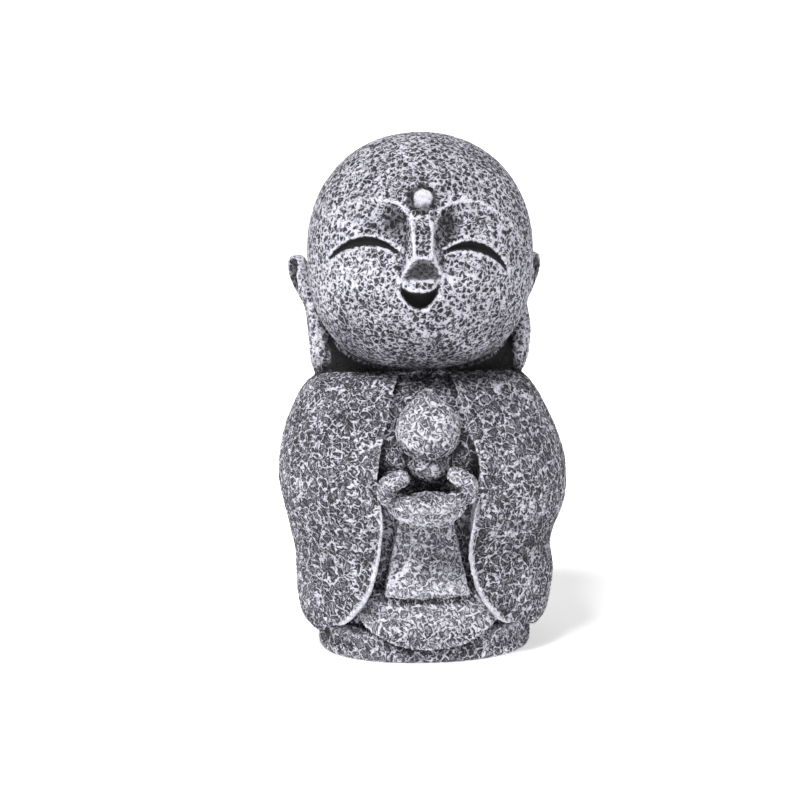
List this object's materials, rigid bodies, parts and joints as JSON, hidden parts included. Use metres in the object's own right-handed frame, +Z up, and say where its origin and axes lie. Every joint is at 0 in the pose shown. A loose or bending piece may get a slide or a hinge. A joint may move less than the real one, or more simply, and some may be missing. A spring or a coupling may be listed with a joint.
{
  "type": "jizo statue",
  "caption": "Small cast-stone jizo: a laughing monk in a wide-sleeved robe who holds a wishing jewel, on a low oval plinth.",
  "frame": {"origin": "centre of the plinth's flat underside", "axes": "+Z up, -Y the way the figure faces, +X to the right of someone who faces it"},
  "size_m": [0.1121, 0.0983, 0.2002],
  "materials": {
    "cast_stone": "rough worked cast stone, dark wash in the hollows and a pale dry-brushed coat on the ridges"
  },
  "bodies": {
    "root": {"jizo_statue": "cast_stone"}
  },
  "joints": []
}
